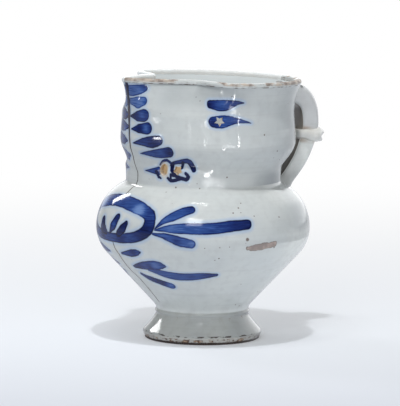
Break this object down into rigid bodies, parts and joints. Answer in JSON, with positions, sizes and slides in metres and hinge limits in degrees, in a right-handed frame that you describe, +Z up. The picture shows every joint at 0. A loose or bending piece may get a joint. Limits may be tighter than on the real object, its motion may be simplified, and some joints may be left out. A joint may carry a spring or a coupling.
{
  "type": "puzzle jug",
  "caption": "Glazed pottery jug with a pinched beak, pierced neck and pedestal foot; liquid is drawn through a tube inside and a hollow strapped handle.",
  "frame": {"origin": "middle of the ring that the foot stands on, on the table", "axes": "+Z up along the jug's axis, beak towards -X, handle towards +X, so XZ is the plane through beak and handle"},
  "size_m": [0.161, 0.1384, 0.1713],
  "materials": {
    "glaze": "gloss, bluish white tin glaze with blue brushwork",
    "handle_glaze": "gloss, greyer tin glaze",
    "lip_glaze": "gloss, worn to the buff clay along the edge",
    "foot_glaze": "gloss, thin greyish glaze with brown wear",
    "bare_clay": "matt, thinly glazed buff clay"
  },
  "bodies": {
    "root": {"foot_ring": "foot_glaze", "foot_coil": "foot_glaze", "lower_body": "glaze", "shoulder": "glaze", "neck_coil": "glaze", "neck": "glaze", "lip_band": "lip_glaze", "handle_lower": "handle_glaze", "handle_upper": "handle_glaze", "handle_collar": "handle_glaze", "suction_tube": "bare_clay"}
  },
  "joints": []
}
